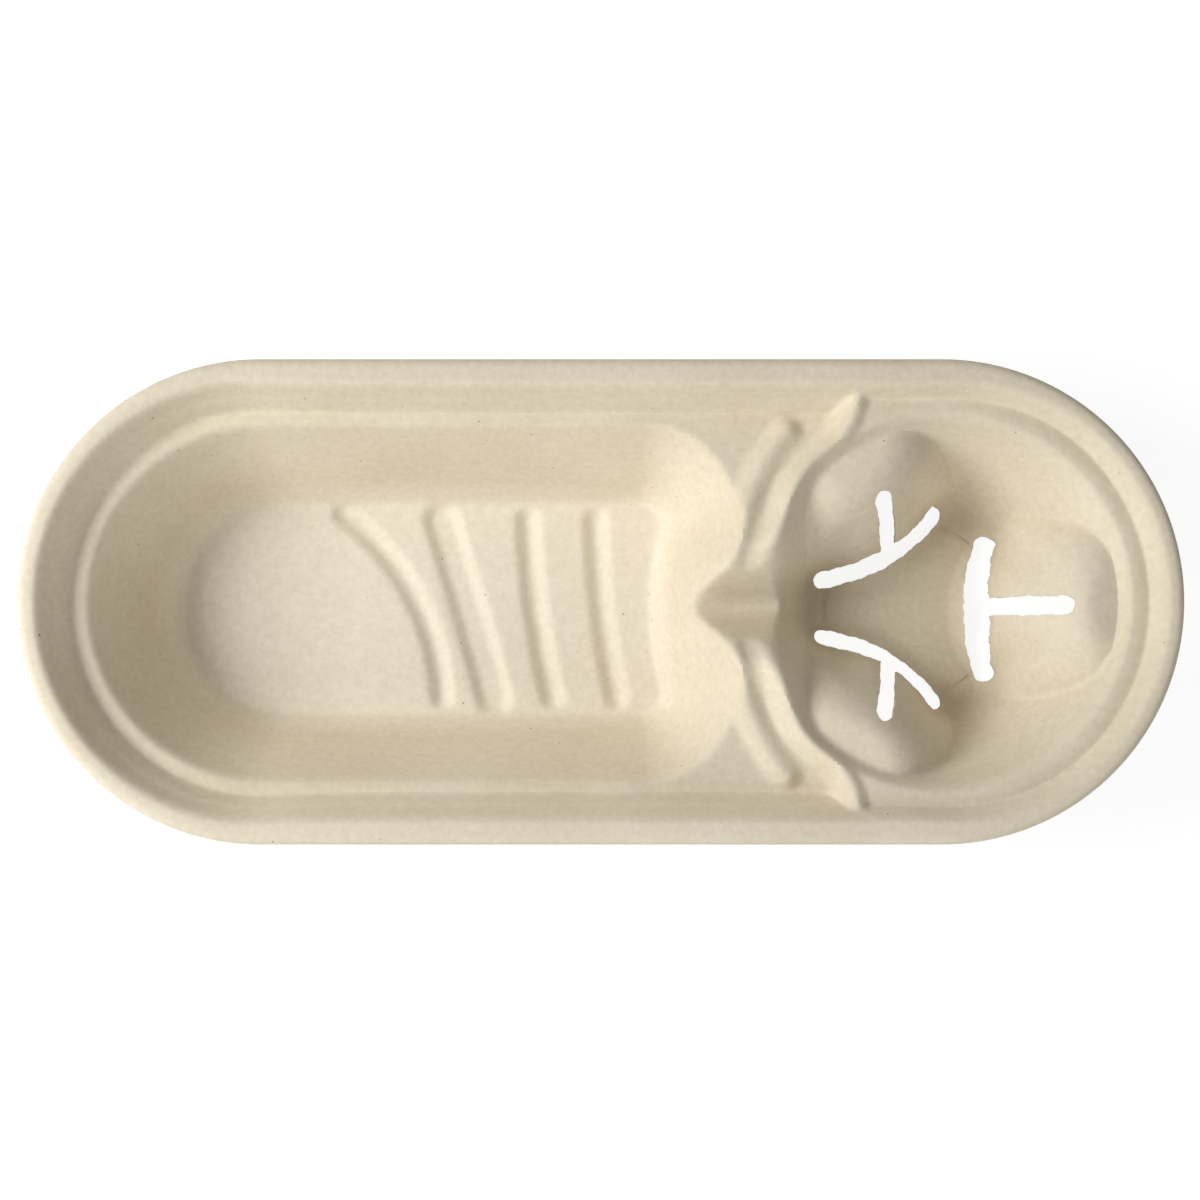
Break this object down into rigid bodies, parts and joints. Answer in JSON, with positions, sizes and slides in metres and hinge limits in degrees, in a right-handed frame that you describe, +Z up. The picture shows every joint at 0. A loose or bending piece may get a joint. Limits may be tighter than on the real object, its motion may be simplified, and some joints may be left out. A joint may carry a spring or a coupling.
{
  "type": "fiber serving tray",
  "caption": "Long moulded plant-fibre tray with a ribbed food compartment at one end and a slotted cup pocket at the other.",
  "frame": {"origin": "centre of the tray's length and width, on the surface that it stands on", "axes": "+X from the food compartment to the cup pocket, +Y across the tray, +Z up"},
  "size_m": [0.305, 0.127, 0.046],
  "materials": {
    "tray": "matte moulded plant fibre"
  },
  "bodies": {
    "root": {"tray": "tray"}
  },
  "joints": []
}
